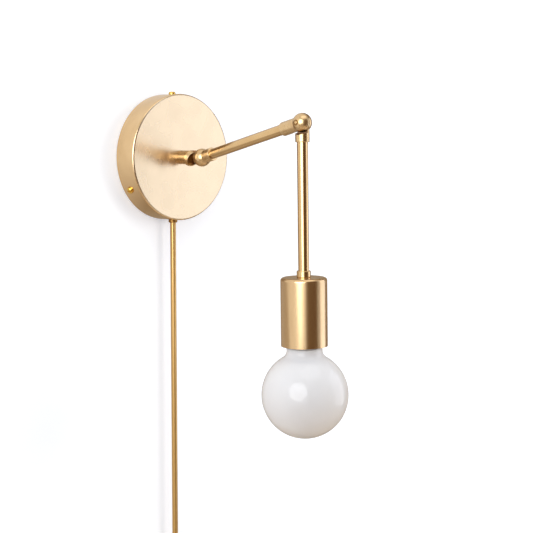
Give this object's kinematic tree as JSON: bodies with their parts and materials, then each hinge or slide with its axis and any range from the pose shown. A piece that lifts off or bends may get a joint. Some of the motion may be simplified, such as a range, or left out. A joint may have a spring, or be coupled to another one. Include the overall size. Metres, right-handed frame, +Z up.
{
  "type": "plug-in wall sconce",
  "caption": "Plug-in wall sconce with a round canopy, a swivel arm, a drop tube with socket cup and globe bulb, and a cloth-covered cord with plug.",
  "frame": {"origin": "centre of the wall plate's back, on the wall, at the centre of the canopy", "axes": "+Z up, +Y into the wall, +X to the right of someone who faces the wall; the light faces -Y"},
  "size_m": [0.133, 0.2333, 0.658],
  "materials": {
    "satin_brass": "satin",
    "polished_brass": "polished satin",
    "bright_brass": "polished",
    "blade_brass": "plain",
    "zinc_steel": "zinc plated",
    "cap_aluminium": "bright",
    "opal_glass": "glossy opal",
    "black_glass": "gloss",
    "porcelain": "glazed",
    "cord_cloth": "braided",
    "tie_strap": "woven",
    "wire_insulation": "plain",
    "connector_plastic": "plain",
    "plug_plastic": "moulded",
    "fibre": "plain"
  },
  "bodies": {
    "wall": {"canopy": "satin_brass", "wall_plate": "zinc_steel", "canopy_screws": "bright_brass", "mounting_nipple": "zinc_steel", "nipple_washer": "zinc_steel", "nipple_nut": "zinc_steel", "base_knuckle": "polished_brass", "base_ring": "polished_brass", "cord_leads": "wire_insulation", "lamp_leads": "wire_insulation", "wire_connectors": "connector_plastic", "cord_bushing": "polished_brass", "bushing_nut": "polished_brass", "power_cord": "cord_cloth", "cord_coil": "cord_cloth", "cord_tie": "tie_strap", "plug_body": "plug_plastic", "plug_blades": "blade_brass"},
    "arm": {"arm_inner_knuckle": "polished_brass", "base_pivot_screw": "zinc_steel", "base_spring_washer": "zinc_steel", "base_friction_washer": "fibre", "arm_tube": "polished_brass", "arm_outer_knuckle": "polished_brass", "elbow_pivot_screw": "zinc_steel", "elbow_spring_washer": "zinc_steel", "elbow_friction_washer": "fibre", "arm_wires": "wire_insulation"},
    "drop": {"drop_knuckle": "polished_brass", "drop_tube": "polished_brass", "cup_collar": "polished_brass", "socket_cup": "satin_brass", "cup_nut": "zinc_steel", "lampholder_cap": "porcelain", "lampholder_body": "porcelain", "terminal_screws": "blade_brass", "socket_shell": "blade_brass", "centre_contact": "blade_brass", "drop_wires": "wire_insulation"},
    "bulb": {"bulb_globe": "opal_glass", "bulb_cap": "cap_aluminium", "bulb_insulator": "black_glass", "bulb_contact": "blade_brass"}
  },
  "joints": [
    {"name": "arm_tilt", "type": "hinge", "parent": "wall", "child": "arm", "pos_m": [0, -0.055, 0], "axis": [-1, 0, 0], "range_deg": [-20, 75]},
    {"name": "drop_tilt", "type": "hinge", "parent": "arm", "child": "drop", "pos_m": [0, -0.18902, 0.03292], "axis": [-1, 0, 0], "range_deg": [-5, 100]},
    {"name": "bulb_unscrew", "type": "slide", "parent": "drop", "child": "bulb", "axis": [0, -0.0175, -0.9998], "range_m": [0, 0.03]}
  ]
}
